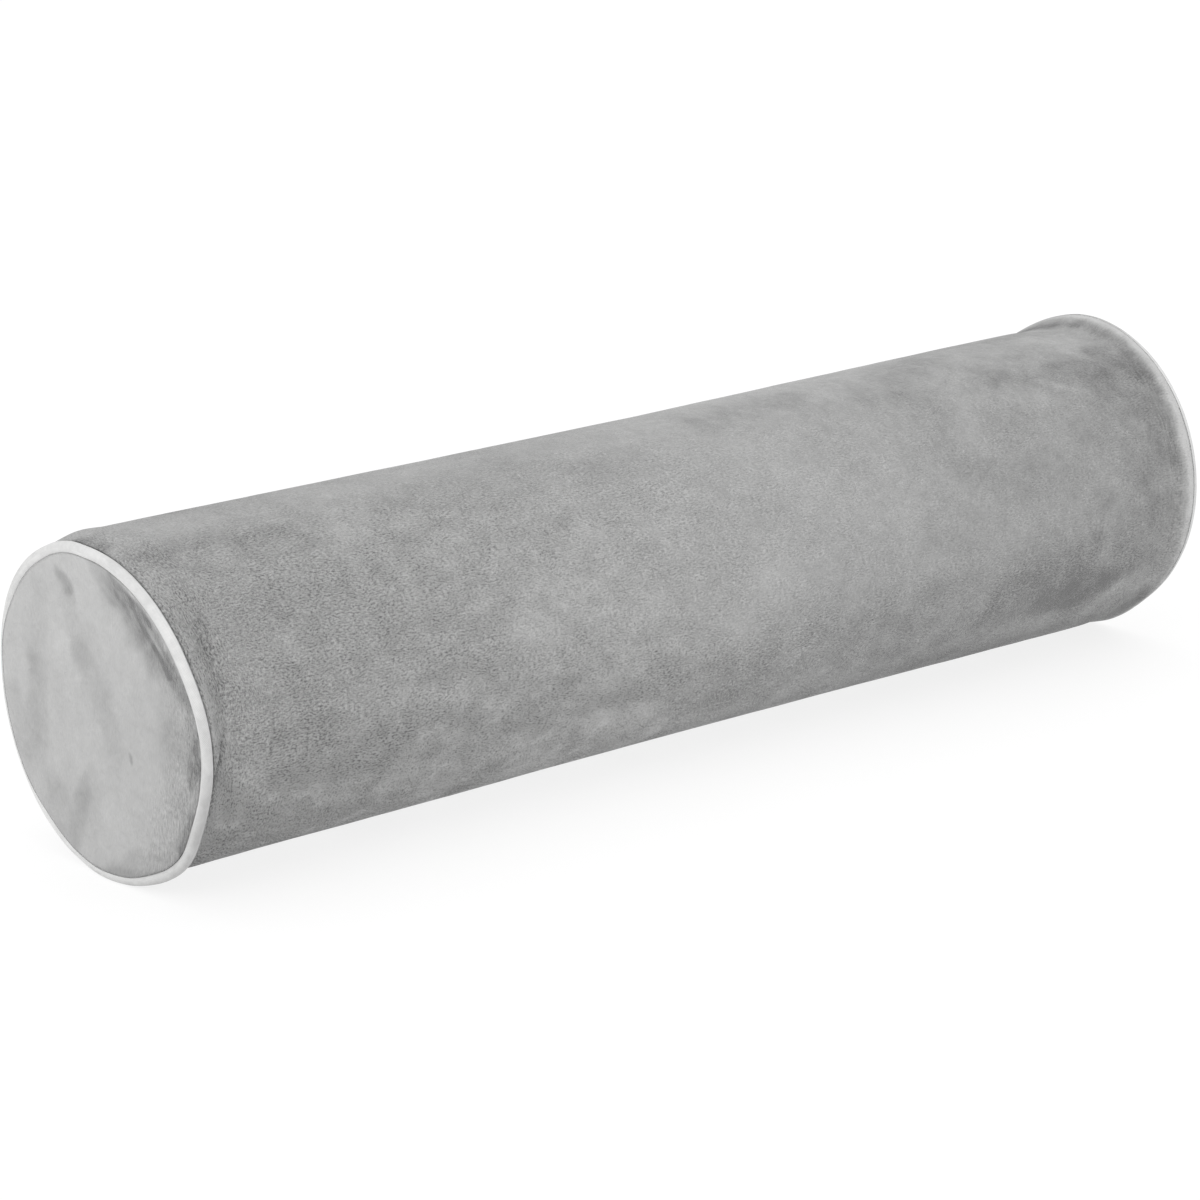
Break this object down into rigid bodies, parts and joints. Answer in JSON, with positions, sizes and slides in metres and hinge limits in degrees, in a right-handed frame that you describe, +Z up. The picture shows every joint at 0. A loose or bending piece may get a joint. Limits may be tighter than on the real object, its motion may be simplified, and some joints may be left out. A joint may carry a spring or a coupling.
{
  "type": "round foam roll pillow with piped ends",
  "caption": "Round foam roll pillow in a grey velour cover, with a round panel and pale piping at each end, lying on its side.",
  "frame": {"origin": "on the surface the roll lies on, under the middle of its box", "axes": "+X along the roll from the near end to the far end, +Y to its back, +Z up"},
  "size_m": [0.4129, 0.1041, 0.1043],
  "materials": {
    "velour": "short soft pile, matt with a faint sheen where it turns away",
    "piping": "smooth matt woven tape round a cord"
  },
  "bodies": {
    "root": {"filled_sleeve": "velour", "end_panel_near": "velour", "end_panel_far": "velour", "piping_near": "piping", "piping_far": "piping"}
  },
  "joints": []
}
